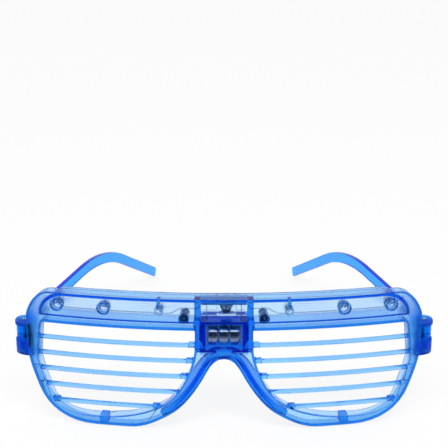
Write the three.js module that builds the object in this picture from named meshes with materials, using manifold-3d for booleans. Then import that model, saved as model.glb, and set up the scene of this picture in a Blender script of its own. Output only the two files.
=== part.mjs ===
import * as THREE from "three";
import { mergeVertices } from "three/addons/utils/BufferGeometryUtils.js";
import Module from "manifold-3d";

// Clear blue party glasses: cross slats for lenses, and seven small lamps in a hollow brow.
// Millimetres, +Z up. The wearer looks along -Y, and left and right are as seen from in front.
// The front is drawn flat, as (across, depth, height), and then bent round an upright cylinder.

const wasm = await Module();
wasm.setup();

// Clearances and cuts
const fitGap = 0.3;
const overrun = 1;
const mergeDistance = 0.0001;

// Front moulding
const frontHalfWidth = 71.4;
const frontHeight = 50;
const wrapRadius = 255;
const bendStep = 8;
const skinThickness = 1.2;
const wallThickness = 0.8;
const rimDepth = 4.5;
const rimSideWidth = 4.1;
const rimFootHeight = 3.2;
const bridgeHalfWidth = 10.2;
const browHeight = 11.7;
const browDepth = 7;
const browTopWall = 1.2;
const browWallThickness = 1.1;
const browSkinThickness = 0.8;
const browFloorDrop = 8.6;
const browFloorThickness = 0.7;
const browEndInset = 5.9;
const browEndLength = 9.5;
const postWidth = 2;

// Half outline of the front, from the nose arch round the foot of the rim to the top,
// as shares of the half width and the height. A row of two is a straight, of six a curve.
const frontOutlineShares = [
  [0, 0.552],
  [0.06, 0.552, 0.078, 0.46, 0.112, 0.376],
  [0.157, 0.264, 0.21, 0.158, 0.28, 0.1],
  [0.336, 0.052, 0.4, 0, 0.476, 0],
  [0.65, 0],
  [0.8, 0, 0.9, 0.1, 0.941, 0.26],
  [0.961, 0.336, 0.986, 0.43, 0.994, 0.52],
  [0.997, 0.82],
  [0.983, 0.89, 0.943, 1, 0.875, 1],
  [0, 1],
];
// Outline of the right lens opening, as shares of its own width and height
const lensOutlineShares = [
  [0, 1],
  [0, 0.85],
  [0, 0.6, 0.09, 0.31, 0.17, 0.2],
  [0.29, 0.07, 0.45, -0.005, 0.67, 0],
  [0.8, 0, 0.912, 0.08, 0.932, 0.23],
  [0.95, 0.33, 0.985, 0.45, 0.998, 0.58],
  [1, 0.66, 0.99, 0.76, 0.985, 0.86],
  [0.982, 0.93, 0.975, 1, 0.955, 1],
];
const pointsPerCurve = 8;
const channelEndSteps = 6;

// Slats across each lens opening. The drop of the first and the pitch are shares of its height.
const slatCount = 5;
const firstSlatDropShare = 0.1866;
const slatPitchShare = 0.173;
const slatHeight = 1.6;
const slatDepth = 1.6;
const slatChamfer = 0.35;
const slatPadLength = 2.2;
const slatPadHeight = 1.9;
const slatPadDepth = 2.2;
const footTabLength = 3;
const footTabAcross = 42.1;

// Nose flange
const flangeDepth = 8.5;
const flangeFlare = 1.2;
const flangeEndShare = 0.25;
const flangeThickness = 2.5;

// Lamps in the brow, spread over shares of the half width
const lampSpotShares = [-0.8375, -0.5966, -0.3207, 0.0112, 0.3207, 0.5966, 0.8375];
const lampRise = 3.7;
const middleLampRise = 4.2;
const lampRadius = 1.5;
const lampBodyLength = 1.5;
const lampFlangeRadius = 1.9;
const lampFlangeThickness = 0.6;
const lampSides = 12;
const lampDomeSteps = 4;
const leadThickness = 0.4;
const leadSpacing = 2.54;
const leadReach = 1.9;
const socketWall = 0.6;
const socketDepth = 2;
const stemWidth = 1;
const spotterOuterRadius = 1.55;
const spotterInnerRadius = 1;
const wireRadius = 0.2;
const wireSides = 6;
const wireClimb = 3;
const wireStepsPerStop = 4;
const smallHoleSides = 8;

// Screws and their bosses
const screwAcross = 14.1;
const screwRise = 1;
const screwRadius = 0.8;
const screwHeadRadius = 1.6;
const screwHeadHeight = 0.9;
const screwCrownRadius = 1;
const bossWall = 0.7;

// Battery box, cells and contacts
const cellRadius = 3.95;
const cellLength = 3.6;
const cellCapRadius = 3.1;
const cellCapHeight = 0.35;
const cellShoulder = 0.3;
const cellSlack = 0.15;
const cellHeadroom = 1.4;
const cellCount = 3;
const boxWall = 1;
const boxWindowThickness = 0.6;
const boxCorner = 1.8;
const contactThickness = 0.3;
const contactSpring = 0.4;
const contactWidth = 4;
const doorThickness = 1.2;
const doorArmThickness = 0.8;
const doorArmReach = 3.4;
const doorArmHeight = 4.4;
const nubRadius = 0.7;
const nubSetback = 2.2;

// Board over the middle lamp, switch behind it, and the button in the hump of the cover
const boardThickness = 0.8;
const switchHalfWidth = 1.6;
const switchHalfHeight = 1.7;
const switchThickness = 1.1;
const switchFloor = 0.15;
const plungerRadius = 0.9;
const plungerLength = 1.15;
const buttonTravel = 0.5;
const buttonRadius = 1.7;
const buttonFlangeRadius = 2.3;
const buttonFlangeThickness = 0.5;
const buttonProud = 1;
const coverThickness = 1.1;
const humpWall = 0.8;
const humpRearWall = 1;

// Hinges and temples
const hingeOut = 3.7;
const hingeDepth = 6.55;
const hingeTopHeight = 36;
const hingeRadius = 2.9;
const upperEarThickness = 1.3;
const knuckleHeight = 5.2;
const lowerEarThickness = 5.1;
const pinRadius = 0.75;
const templeThickness = 1.8;
const templeHeightAtHinge = 4.5;
const templeHeightAtTip = 4.2;
const templeInwardAngle = 16.5;
const templeLength = 146;
const templeStraightShare = 0.37;
const templeBendRadiusShare = 0.644;
const templeNeckLength = 12;
const templeTipCorner = 1.2;
const templeBendSteps = 12;
const templeCornerSteps = 2;
const bendTries = 50;

// Places worked out from the sizes above
const browBottom = frontHeight - browHeight;
const channelFloor = frontHeight - browFloorDrop;
const channelTop = frontHeight - browTopWall;
const lensWidth = frontHalfWidth - bridgeHalfWidth - rimSideWidth;
const lensHeight = browBottom - rimFootHeight;
const lampSpots = lampSpotShares.map((share) => share * frontHalfWidth);
const middleLamp = (lampSpots.length - 1) / 2;
const lampHeight = channelFloor + lampRise;
const coverFront = browDepth - coverThickness;
const lampFront = skinThickness + fitGap;
const lampRear = lampFront + lampRadius + lampBodyLength + lampFlangeThickness;
const leadRear = lampRear + leadThickness;
const wireDepth = lampRear + wireRadius;
const upperWireHeight = lampHeight + leadReach + fitGap + wireRadius;
const lowerWireHeight = lampHeight - leadReach - fitGap - wireRadius;
const screwHeight = channelFloor + screwRise;
const bossRear = coverFront - fitGap;
const bossRadius = screwRadius + fitGap + bossWall;
const cellPitch = cellLength + cellSlack;
const cellRowHalf = (cellPitch * cellCount - cellSlack) / 2;
const cellDepth = skinThickness + fitGap + cellRadius;
const boxInnerHalf = cellRowHalf + contactThickness + contactSpring + fitGap;
const boxOuterHalf = boxInnerHalf + boxWall;
const boxDepth = cellDepth + cellRadius + fitGap;
const cavityTop = channelFloor - browFloorThickness;
const cavityBottom = cavityTop - 2 * (cellRadius + fitGap) - cellHeadroom;
const cellHeight = cavityBottom + fitGap + cellRadius;
const boxBottom = cavityBottom - boxWall;
const bridgeDepth = boxDepth - doorArmReach - fitGap;
const doorFront = boxDepth + fitGap;
const doorRear = doorFront + doorThickness;
const nubDepth = boxDepth - nubSetback;
const middleAcross = lampSpots[middleLamp];
const boardHalfWidth = bridgeHalfWidth - postWidth - fitGap;
const boardFront = skinThickness + fitGap;
const boardRear = coverFront - fitGap;
const boardTop = channelTop - fitGap;
const boardBottom = boardTop - boardThickness;
const wireEnd = boardHalfWidth + 2 * fitGap;
const switchFront = leadRear + fitGap;
const switchRear = switchFront + switchThickness;
const plungerRear = switchRear + buttonTravel + fitGap;
const buttonHeight = (channelFloor + channelTop) / 2;
const buttonFront = plungerRear;
const buttonFlangeRear = buttonFront + buttonFlangeThickness;
const humpInnerHalf = buttonFlangeRadius + fitGap;
const humpInnerRear = buttonFlangeRear + fitGap;
const humpRear = humpInnerRear + humpRearWall;
const buttonRear = humpRear + buttonProud;
const batteryWireAcross = boxInnerHalf - fitGap - wireRadius;
const batteryWireDepth = boardRear - 2 * wireRadius;
const hingeBottomHeight =
  hingeTopHeight - upperEarThickness - knuckleHeight - lowerEarThickness - 2 * fitGap;
const knuckleTop = hingeTopHeight - upperEarThickness - fitGap;
const knuckleBottom = knuckleTop - knuckleHeight;
const pinBoreRadius = pinRadius + fitGap;
const templeCentreHeight = hingeTopHeight - templeHeightAtHinge / 2;
const templeStraight = templeLength * templeStraightShare;
const templeBendRadius = templeLength * templeBendRadiusShare;

const clearBlue = { color: 0x4f9bf5, roughness: 0.12, metalness: 0 };
const paleClear = { color: 0xb9cdf0, roughness: 0.2, metalness: 0 };
const deepBlue = { color: 0x1d6ff0, roughness: 0.15, metalness: 0 };
const lampClear = { color: 0xdfe6f2, roughness: 0.08, metalness: 0 };
const steel = { color: 0xb4b8c0, roughness: 0.25, metalness: 1 };
const darkSteel = { color: 0x14161c, roughness: 0.35, metalness: 0.9 };
const copper = { color: 0xb08d57, roughness: 0.35, metalness: 1 };
const boardBlue = { color: 0x1a4fd0, roughness: 0.5, metalness: 0 };
const blackPlastic = { color: 0x15161a, roughness: 0.45, metalness: 0 };

// A closed three.js geometry as a solid that can be joined and cut
function solid(geometry) {
  const bare = geometry.index ? geometry.toNonIndexed() : geometry.clone();
  bare.deleteAttribute("normal");
  bare.deleteAttribute("uv");
  const merged = mergeVertices(bare, mergeDistance);
  const corners = merged.index.array;
  const kept = [];
  for (let i = 0; i < corners.length; i += 3) {
    const [a, b, c] = corners.slice(i, i + 3);
    if (a !== b && b !== c && c !== a) kept.push(a, b, c);
  }
  return new wasm.Manifold(
    new wasm.Mesh({
      numProp: 3,
      vertProperties: merged.attributes.position.array,
      triVerts: new Uint32Array(kept),
    }),
  );
}

function geometryOf(body) {
  const mesh = body.getMesh();
  const points = [];
  for (const corner of mesh.triVerts) {
    points.push(...mesh.vertProperties.subarray(corner * mesh.numProp, corner * mesh.numProp + 3));
  }
  const geometry = new THREE.BufferGeometry();
  geometry.setAttribute("position", new THREE.Float32BufferAttribute(points, 3));
  geometry.computeVertexNormals();
  return geometry;
}

function joined(geometries) {
  return geometries.map(solid).reduce((sum, next) => sum.add(next));
}

function cutBy(body, geometries) {
  return geometries.map(solid).reduce((rest, next) => rest.subtract(next), body);
}

// The same geometry on the other side of the middle plane, its faces still pointing out
function mirrored(geometry) {
  const flipped = (geometry.index ? geometry.toNonIndexed() : geometry.clone()).scale(-1, 1, 1);
  const points = flipped.attributes.position;
  const a = new THREE.Vector3();
  const b = new THREE.Vector3();
  for (let i = 0; i < points.count; i += 3) {
    a.fromBufferAttribute(points, i);
    b.fromBufferAttribute(points, i + 1);
    points.setXYZ(i, b.x, b.y, b.z);
    points.setXYZ(i + 1, a.x, a.y, a.z);
  }
  flipped.deleteAttribute("normal");
  return flipped;
}

function onBothSides(geometries) {
  return geometries.concat(geometries.map(mirrored));
}

// A flat outline (across, height) made solid from one depth to another
function slab(shape, front, rear) {
  const body = new THREE.ExtrudeGeometry(shape, { depth: rear - front, bevelEnabled: false });
  return body.rotateX(Math.PI / 2).translate(0, rear, 0);
}

function block(across0, across1, front, rear, bottom, top) {
  const body = new THREE.BoxGeometry(across1 - across0, rear - front, top - bottom);
  return body.translate((across0 + across1) / 2, (front + rear) / 2, (bottom + top) / 2);
}

// A round bar along the depth
function rod(radius, across, height, front, rear, sides) {
  const body = new THREE.CylinderGeometry(radius, radius, rear - front, sides);
  return body.translate(across, (front + rear) / 2, height);
}

// A round bar that stands upright
function post(radius, bottom, top, sides) {
  const body = new THREE.CylinderGeometry(radius, radius, top - bottom, sides);
  return body.rotateX(Math.PI / 2).translate(0, 0, (bottom + top) / 2);
}

// A section (depth, height) drawn out across the front
function lengthwise(shape, across0, across1) {
  const body = new THREE.ExtrudeGeometry(shape, { depth: across1 - across0, bevelEnabled: false });
  const turn = new THREE.Matrix4().makeBasis(
    new THREE.Vector3(0, 1, 0),
    new THREE.Vector3(0, 0, 1),
    new THREE.Vector3(1, 0, 0),
  );
  return body.applyMatrix4(turn).translate(across0, 0, 0);
}

function traced(rows, width, height) {
  const path = new THREE.Path();
  rows.forEach((row, index) => {
    const sizes = row.map((share, place) => share * (place % 2 ? height : width));
    if (index === 0) path.moveTo(...sizes);
    else if (sizes.length === 2) path.lineTo(...sizes);
    else path.bezierCurveTo(...sizes);
  });
  return path.getPoints(pointsPerCurve);
}

// An outline moved out (or in, if the distance is negative) by the same distance all round
function offset(points, distance) {
  const sign = THREE.ShapeUtils.isClockWise(points) ? -1 : 1;
  return points.map((point, index) => {
    const before = points.at(index - 1);
    const after = points[(index + 1) % points.length];
    const into = point.clone().sub(before).normalize();
    const out = after.clone().sub(point).normalize();
    const normalIn = new THREE.Vector2(into.y, -into.x);
    const normalOut = new THREE.Vector2(out.y, -out.x);
    const mitre = normalIn.clone().add(normalOut).divideScalar(1 + normalIn.dot(normalOut));
    return point.clone().addScaledVector(mitre, distance * sign);
  });
}

function ring(outer, inner, front, rear) {
  const shape = new THREE.Shape(outer);
  shape.holes.push(new THREE.Path(inner));
  return slab(shape, front, rear);
}

// Where a level line crosses the outline, on its nose side or its outer side
function edgeAt(points, height, outerSide) {
  const crossings = [];
  points.forEach((point, index) => {
    const next = points[(index + 1) % points.length];
    if (point.y > height === next.y > height) return;
    const along = (height - point.y) / (next.y - point.y);
    crossings.push(point.x + along * (next.x - point.x));
  });
  return outerSide ? Math.max(...crossings) : Math.min(...crossings);
}

// Bending the flat front: a point goes to its place on the curved one
function bentPlace(across, depth, height) {
  const angle = across / wrapRadius;
  const radius = wrapRadius - depth;
  return new THREE.Vector3(
    radius * Math.sin(angle),
    wrapRadius - radius * Math.cos(angle),
    height,
  );
}

// How far the bent front lies behind its middle, before its sides are turned
function bow(across) {
  return across ** 2 / (2 * wrapRadius);
}

function moved(body, placeOf) {
  const geometry = geometryOf(body);
  const corners = geometry.attributes.position;
  const corner = new THREE.Vector3();
  for (let i = 0; i < corners.count; i += 1) {
    corners.setXYZ(i, ...placeOf(corner.fromBufferAttribute(corners, i)));
  }
  return solid(geometry);
}

// The flat body is cut into upright strips, and each is bowed back. The cuts stay flat, so the
// strips join again without a gap, and then every corner goes on to its place round the bend.
function bent(body) {
  const points = geometryOf(body).attributes.position;
  const box = new THREE.Box3().setFromBufferAttribute(points);
  const low = box.min.clone().subScalar(overrun);
  const high = box.max.clone().addScalar(overrun);
  const strips = [];
  for (let k = Math.floor(box.min.x / bendStep); k * bendStep < box.max.x; k += 1) {
    const strip = block(k * bendStep, (k + 1) * bendStep, low.y, high.y, low.z, high.z);
    strips.push(
      moved(body.intersect(solid(strip)), ({ x, y, z }) => [x, y + bow(x), z]),
    );
  }
  const whole = strips.reduce((sum, next) => sum.add(next));
  return moved(whole, ({ x, y, z }) => bentPlace(x, y - bow(x), z));
}

// A solid skinned over a row of sections that each have the same number of corners
function lofted(sections) {
  const size = sections[0].length;
  const faces = [];
  for (let i = 0; i + 1 < sections.length; i += 1) {
    for (let k = 0; k < size; k += 1) {
      const next = (k + 1) % size;
      faces.push(sections[i][k], sections[i + 1][k], sections[i + 1][next]);
      faces.push(sections[i][k], sections[i + 1][next], sections[i][next]);
    }
  }
  for (let k = 1; k + 1 < size; k += 1) {
    faces.push(sections[0][0], sections[0][k], sections[0][k + 1]);
    faces.push(sections.at(-1)[0], sections.at(-1)[k + 1], sections.at(-1)[k]);
  }
  return new THREE.BufferGeometry().setFromPoints(faces);
}

function roundedRectangle(halfWidth, bottom, top, corner) {
  const shape = new THREE.Shape();
  shape.absarc(halfWidth - corner, bottom + corner, corner, -Math.PI / 2, 0);
  shape.absarc(halfWidth - corner, top - corner, corner, 0, Math.PI / 2);
  shape.absarc(corner - halfWidth, top - corner, corner, Math.PI / 2, Math.PI);
  shape.absarc(corner - halfWidth, bottom + corner, corner, Math.PI, Math.PI * 1.5);
  return new THREE.Shape(shape.getPoints(2));
}

const glasses = new THREE.Group();

function addPiece(name, geometry, look, parent = glasses) {
  const mesh = new THREE.Mesh(geometry, new THREE.MeshStandardMaterial(look));
  mesh.name = name;
  parent.add(mesh);
  return mesh;
}

// A place on the bent front, turned to face straight out of it there
function placeOnFront(across) {
  const place = new THREE.Group();
  place.position.copy(bentPlace(across, 0, 0));
  place.rotation.z = across / wrapRadius;
  glasses.add(place);
  return place;
}

// Outlines of the front and of its openings
const halfOutline = traced(frontOutlineShares, frontHalfWidth, frontHeight);
const frontOutline = halfOutline.concat(
  halfOutline
    .slice(1, -1)
    .reverse()
    .map((point) => new THREE.Vector2(-point.x, point.y)),
);
const lensOutline = traced(lensOutlineShares, lensWidth, lensHeight).map((point) =>
  point.add(new THREE.Vector2(bridgeHalfWidth, rimFootHeight)),
);
const lensWallOutline = offset(lensOutline, wallThickness);

// The hollow of the brow, with a quarter-round end beyond each outer lamp
function channelOutline(inset) {
  const endAcross = frontHalfWidth - browEndInset - inset;
  const floor = channelFloor + inset;
  const top = channelTop - inset;
  const shape = new THREE.Shape();
  const roundStart = endAcross - browEndLength;
  shape.moveTo(-endAcross, floor);
  shape.lineTo(endAcross, floor);
  shape.absellipse(roundStart, floor, browEndLength, top - floor, 0, Math.PI / 2);
  shape.lineTo(-roundStart, top);
  shape.absellipse(-roundStart, floor, browEndLength, top - floor, Math.PI / 2, Math.PI);
  return shape.getPoints(channelEndSteps).slice(0, -1);
}

// A bar's section (depth, height), with its four corners taken off
function slatSection(bottom, height, depth) {
  const top = bottom + height;
  return new THREE.Shape(
    [
      [slatChamfer, bottom],
      [depth - slatChamfer, bottom],
      [depth, bottom + slatChamfer],
      [depth, top - slatChamfer],
      [depth - slatChamfer, top],
      [slatChamfer, top],
      [0, top - slatChamfer],
      [0, bottom + slatChamfer],
    ].map(([x, y]) => new THREE.Vector2(x, y)),
  );
}

// Five slats, each a bar from the nose side of the rim out to the rim's own outer edge,
// with square pads where the upper three meet the nose side and at both ends of the lowest
function slatParts() {
  const bars = [];
  const pads = [];
  for (let k = 0; k < slatCount; k += 1) {
    const bottom = browBottom - lensHeight * (firstSlatDropShare + k * slatPitchShare);
    const middle = bottom + slatHeight / 2;
    const noseEdge = edgeAt(lensOutline, middle, false);
    const outerEdge = edgeAt(lensOutline, middle, true);
    const reach = wallThickness / 2;
    bars.push(
      lengthwise(slatSection(bottom, slatHeight, slatDepth), noseEdge - reach, frontHalfWidth),
    );
    const padSection = slatSection(bottom, slatPadHeight, slatPadDepth);
    const isLowest = k === slatCount - 1;
    if (k * 2 <= slatCount || isLowest) {
      pads.push(lengthwise(padSection, noseEdge - reach, noseEdge + slatPadLength));
    }
    if (isLowest) {
      pads.push(lengthwise(padSection, outerEdge - slatPadLength, outerEdge + reach));
    }
  }
  return bars.concat(pads);
}

// The nose flange: a thin wall behind the nose outline that leans away from the nose
function noseFlange() {
  const sideCount = pointsPerCurve * 2 + 2;
  const side = halfOutline.slice(0, sideCount);
  const whole = side
    .slice(1)
    .reverse()
    .map((point) => new THREE.Vector2(-point.x, point.y))
    .concat(side);
  const normals = whole.map((point, index) => {
    const along = whole[Math.min(index + 1, whole.length - 1)]
      .clone()
      .sub(whole[Math.max(index - 1, 0)])
      .normalize();
    return new THREE.Vector2(-along.y, along.x);
  });
  const sections = whole.map((point, index) => {
    const share = Math.abs((2 * index) / (whole.length - 1) - 1);
    const swell = Math.sin(Math.PI * share) ** 2;
    const depth = rimDepth + (flangeDepth - rimDepth) * swell;
    const flare = flangeFlare * THREE.MathUtils.lerp(flangeEndShare, 1, swell);
    return [
      [0, 0],
      [flangeThickness, 0],
      [flare + flangeThickness, depth],
      [flare, depth],
    ].map(([out, back]) => {
      const place = point.clone().addScaledVector(normals[index], out);
      return new THREE.Vector3(place.x, back, place.y);
    });
  });
  return lofted(sections);
}

function lampSpot(index) {
  const rise = index === middleLamp ? middleLampRise : lampRise;
  return { across: lampSpots[index], height: channelFloor + rise };
}

// A round wall behind the skin of the brow, round the middle of a lamp
function roundWall({ across, height }, outer, inner, rear) {
  const rings = [outer, inner].map((radius) => {
    const circle = new THREE.Shape().absarc(0, 0, radius, 0, Math.PI * 2);
    return circle.getPoints(lampSides / 2).slice(0, -1);
  });
  return ring(rings[0], rings[1], browSkinThickness / 2, rear).translate(across, 0, height);
}

function lampSocket(spot) {
  const inner = lampRadius + fitGap;
  return roundWall(spot, inner + socketWall, inner, socketDepth + skinThickness);
}

// A small ring in front of the dome of a lamp that has no socket
function lampSpotter(spot) {
  return roundWall(spot, spotterOuterRadius, spotterInnerRadius, lampFront);
}

// A stem that comes down from the roof of the brow to a lamp that has no socket
function lampStem({ across, height }) {
  return block(
    across - stemWidth / 2,
    across + stemWidth / 2,
    browSkinThickness / 2,
    socketDepth + skinThickness,
    height + lampRadius + fitGap,
    channelTop + browTopWall / 2,
  );
}

// The solid bridge between the lens openings, which carries the battery box
function solidBridge() {
  const half = bridgeHalfWidth + wallThickness / 2;
  const body = block(-half, half, 0, bridgeDepth, boxBottom, channelFloor - browFloorThickness / 2);
  const within = solid(slab(new THREE.Shape(frontOutline), 0, bridgeDepth));
  const holes = onBothSides([slab(new THREE.Shape(lensOutline), -overrun, bridgeDepth + overrun)]);
  return geometryOf(cutBy(solid(body).intersect(within), holes));
}

// Walls of the brow channel, with a floor that is thinner than the rest
function channelWalls(channel) {
  const walls = solid(ring(offset(channel, browWallThickness), channel, 0, browDepth));
  const under = block(
    -frontHalfWidth,
    frontHalfWidth,
    skinThickness,
    browDepth + overrun,
    browBottom,
    channelFloor - browFloorThickness,
  );
  return geometryOf(cutBy(walls, [under]));
}

// Front moulding, flat: skin, rim walls, brow channel, bridge, sockets, bosses, slats and flange
function flatFront() {
  const whole = slab(new THREE.Shape(frontOutline), 0, rimDepth);
  const channel = channelOutline(0);
  const browRecess = slab(new THREE.Shape(channel), browSkinThickness, skinThickness + overrun);
  const walls = [
    geometryOf(cutBy(solid(slab(new THREE.Shape(frontOutline), 0, skinThickness)), [browRecess])),
    ring(frontOutline, offset(frontOutline, -wallThickness), 0, rimDepth),
    channelWalls(channel),
    noseFlange(),
    solidBridge(),
  ];
  const postTop = channelTop + browTopWall / 2;
  const tabTop = rimFootHeight + wallThickness / 2;
  const wallsOfSides = onBothSides([
    ring(lensWallOutline, lensOutline, 0, rimDepth),
    block(bridgeHalfWidth - postWidth, bridgeHalfWidth, 0, bossRear, browBottom, postTop),
    block(footTabAcross, footTabAcross + footTabLength, 0, rimDepth, wallThickness / 2, tabTop),
    rod(bossRadius, screwAcross, screwHeight, browSkinThickness / 2, bossRear, lampSides),
  ]);
  const spots = lampSpots.map((across, index) => lampSpot(index));
  const fromMiddle = (index) => Math.abs(index - middleLamp);
  const sockets = spots.filter((spot, index) => fromMiddle(index) > 1).map(lampSocket);
  const bare = spots.filter((spot, index) => fromMiddle(index) === 1);
  const stems = bare.map(lampStem).concat(bare.map(lampSpotter));

  // The slats end in the wall on the nose side, and run out to the edge on the other
  const lensMiddle = bridgeHalfWidth + lensWidth / 2;
  const edge = frontHalfWidth + overrun;
  const outerHalf = block(lensMiddle, edge, -overrun, browDepth, -overrun, frontHeight);
  const outerClip = solid(whole).intersect(solid(outerHalf));
  const clip = solid(slab(new THREE.Shape(lensWallOutline), 0, rimDepth)).add(outerClip);
  const slats = joined(onBothSides(slatParts())).intersect(joined(onBothSides([geometryOf(clip)])));

  const lensHole = slab(new THREE.Shape(lensOutline), -overrun, skinThickness + overrun);
  const openings = joined(onBothSides([lensHole])).subtract(slats);
  const body = joined(walls.concat(wallsOfSides, sockets, stems)).add(slats).subtract(openings);

  // The screws go down the bosses, and the wires and the board pass over the posts
  const wireFront = wireDepth - wireRadius - fitGap;
  const cuts = onBothSides([
    rod(screwRadius + fitGap, screwAcross, screwHeight, skinThickness, browDepth, lampSides),
    block(
      bridgeHalfWidth - postWidth - overrun,
      bridgeHalfWidth + overrun,
      wireFront,
      browDepth,
      channelFloor + fitGap,
      channelTop - fitGap,
    ),
  ]);
  return cutBy(body, cuts);
}

// Hinge ears: two upright lugs that reach back and out from the end of the front
const hingeAxis = bentPlace(frontHalfWidth + hingeOut, hingeDepth, 0);
const hingeAngle = frontHalfWidth / wrapRadius;

function hingeEar(bottom, top) {
  const shape = new THREE.Shape();
  const rootOut = -hingeOut - wallThickness;
  const rootFront = skinThickness - hingeDepth;
  const rootRear = rimDepth - hingeDepth - fitGap;
  shape.moveTo(rootOut, rootFront);
  shape.lineTo(-hingeOut + wallThickness, rootFront);
  shape.quadraticCurveTo(hingeRadius, rootFront, hingeRadius, 0);
  shape.absarc(0, 0, hingeRadius, 0, Math.PI);
  shape.lineTo(-hingeRadius, rootRear);
  shape.lineTo(rootOut, rootRear);
  const outline = new THREE.Shape(shape.getPoints(pointsPerCurve));
  const ear = new THREE.ExtrudeGeometry(outline, { depth: top - bottom, bevelEnabled: false });
  return ear.rotateZ(hingeAngle).translate(hingeAxis.x, hingeAxis.y, bottom);
}

function hingeBore() {
  const bore = post(pinBoreRadius, hingeBottomHeight - overrun, hingeTopHeight + overrun, lampSides);
  return bore.translate(hingeAxis.x, hingeAxis.y, 0);
}

function frontFrame() {
  const boxOutline = roundedRectangle(boxOuterHalf, boxBottom, channelFloor, boxCorner);
  const box = slab(boxOutline, boxWindowThickness / 2, boxDepth);
  const nubReach = fitGap + doorArmThickness;
  const nub = post(nubRadius, boxOuterHalf - boxWall / 2, boxOuterHalf + nubReach, smallHoleSides);
  nub.rotateY(Math.PI / 2).translate(0, nubDepth, cellHeight);
  const additions = onBothSides([
    hingeEar(hingeBottomHeight, knuckleBottom - fitGap),
    hingeEar(knuckleTop + fitGap, hingeTopHeight),
    nub,
  ]);
  const wireHole = post(wireRadius + fitGap, cavityTop - overrun, channelTop, smallHoleSides);
  wireHole.translate(batteryWireAcross, batteryWireDepth, 0);
  const cuts = onBothSides([hingeBore(), wireHole]);
  cuts.push(
    block(
      -boxInnerHalf,
      boxInnerHalf,
      boxWindowThickness,
      boxDepth + overrun,
      cavityBottom,
      cavityTop,
    ),
  );
  return geometryOf(cutBy(bent(flatFront()).add(joined([box, ...additions])), cuts));
}

addPiece("front_frame", frontFrame(), clearBlue);

// Rear cover: a clear strip in the brow channel, with a hump over the switch and the button
function rearCover() {
  const strip = bent(solid(slab(new THREE.Shape(channelOutline(fitGap)), coverFront, browDepth)));
  const humpHalf = humpInnerHalf + humpWall;
  const hump = block(
    middleAcross - humpHalf,
    middleAcross + humpHalf,
    coverFront + fitGap,
    humpRear,
    channelFloor + fitGap,
    channelTop - fitGap,
  );
  const inside = block(
    middleAcross - humpInnerHalf,
    middleAcross + humpInnerHalf,
    coverFront - overrun,
    humpInnerRear,
    buttonHeight - humpInnerHalf,
    buttonHeight + humpInnerHalf,
  );
  const buttonHole = rod(
    buttonRadius + fitGap,
    middleAcross,
    buttonHeight,
    humpInnerRear - overrun,
    humpRear + overrun,
    lampSides * 2,
  );
  const screwHole = rod(screwRadius + fitGap, 0, 0, 0, browDepth + overrun, lampSides);
  const screwPlace = bentPlace(screwAcross, 0, screwHeight);
  screwHole.rotateZ(screwAcross / wrapRadius);
  screwHole.translate(screwPlace.x, screwPlace.y, screwPlace.z);
  const cuts = [inside, buttonHole].concat(onBothSides([screwHole]));
  return geometryOf(cutBy(strip.add(solid(hump)), cuts));
}

addPiece("rear_cover", rearCover(), paleClear);

// Lamps: a domed body, a collar and two leads. The leads part, one up and one down, to the
// wires, but both go up to the board on the middle lamp.
function lamp(index) {
  const profile = [];
  for (let step = 0; step <= lampDomeSteps; step += 1) {
    const angle = (step / lampDomeSteps) * (Math.PI / 2);
    profile.push([lampRadius * Math.sin(angle), lampFront + lampRadius * (1 - Math.cos(angle))]);
  }
  const collarFront = lampRear - lampFlangeThickness;
  profile.push([lampRadius, collarFront]);
  profile.push([lampFlangeRadius, collarFront]);
  profile.push([lampFlangeRadius, lampRear]);
  profile.push([0, lampRear]);
  const outline = profile.map(([radius, depth]) => new THREE.Vector2(radius, depth));
  const body = new THREE.LatheGeometry(outline, lampSides);
  const leads = [-1, 1].map((side) => {
    const root = (side * leadSpacing) / 2;
    const half = leadThickness / 2;
    const front = lampRear - half;
    if (index === middleLamp) return block(root - half, root + half, front, leadRear, -half, leadReach);
    const ends = [root - side * half, side * leadReach];
    return block(-half, half, front, leadRear, Math.min(...ends), Math.max(...ends));
  });
  return geometryOf(joined([body, ...leads]));
}

lampSpots.forEach((across, index) => {
  const piece = addPiece(`led_${index + 1}`, lamp(index), lampClear, placeOnFront(across));
  piece.position.z = lampSpot(index).height;
});

// Wires: two on each side run from the outer lamp along the brow to the board
function wire(points, steps) {
  const section = new THREE.Shape().absarc(0, 0, wireRadius, 0, Math.PI * 2);
  const outline = new THREE.Shape(section.getPoints(wireSides / 2).slice(0, -1));
  const path = new THREE.CatmullRomCurve3(points, false, "centripetal");
  return new THREE.ExtrudeGeometry(outline, { steps, bevelEnabled: false, extrudePath: path });
}

function wireAlongBrow(stops) {
  const lamps = [lampSpots.at(-1) + leadThickness, lampSpots.at(-2), lampSpots.at(-3)];
  const [[, height]] = stops;
  const points = lamps.map((across) => [across, height]).concat(stops);
  return wire(
    points.map(([across, level]) => bentPlace(across, wireDepth, level)),
    points.length * wireStepsPerStop,
  );
}

function upperWire() {
  return wireAlongBrow([
    [screwAcross, upperWireHeight],
    [bridgeHalfWidth, upperWireHeight],
    [wireEnd, upperWireHeight],
  ]);
}

// The lower wire climbs over the screw boss, and then up to the board
function lowerWire() {
  const overBoss = screwHeight + bossRadius + fitGap + wireRadius;
  return wireAlongBrow([
    [screwAcross + bossRadius + wireClimb, lowerWireHeight],
    [screwAcross + bossRadius, overBoss],
    [screwAcross - bossRadius, overBoss],
    [bridgeHalfWidth, overBoss],
    [boardHalfWidth, boardBottom - fitGap - wireRadius],
  ]);
}

addPiece("led_wire_positive_right", upperWire(), copper);
addPiece("led_wire_negative_right", lowerWire(), copper);
addPiece("led_wire_positive_left", mirrored(upperWire()), copper);
addPiece("led_wire_negative_left", mirrored(lowerWire()), copper);

// Board flat under the roof of the brow, between the two posts
addPiece(
  "circuit_board",
  block(-boardHalfWidth, boardHalfWidth, boardFront, boardRear, boardBottom, boardTop),
  boardBlue,
);

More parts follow.
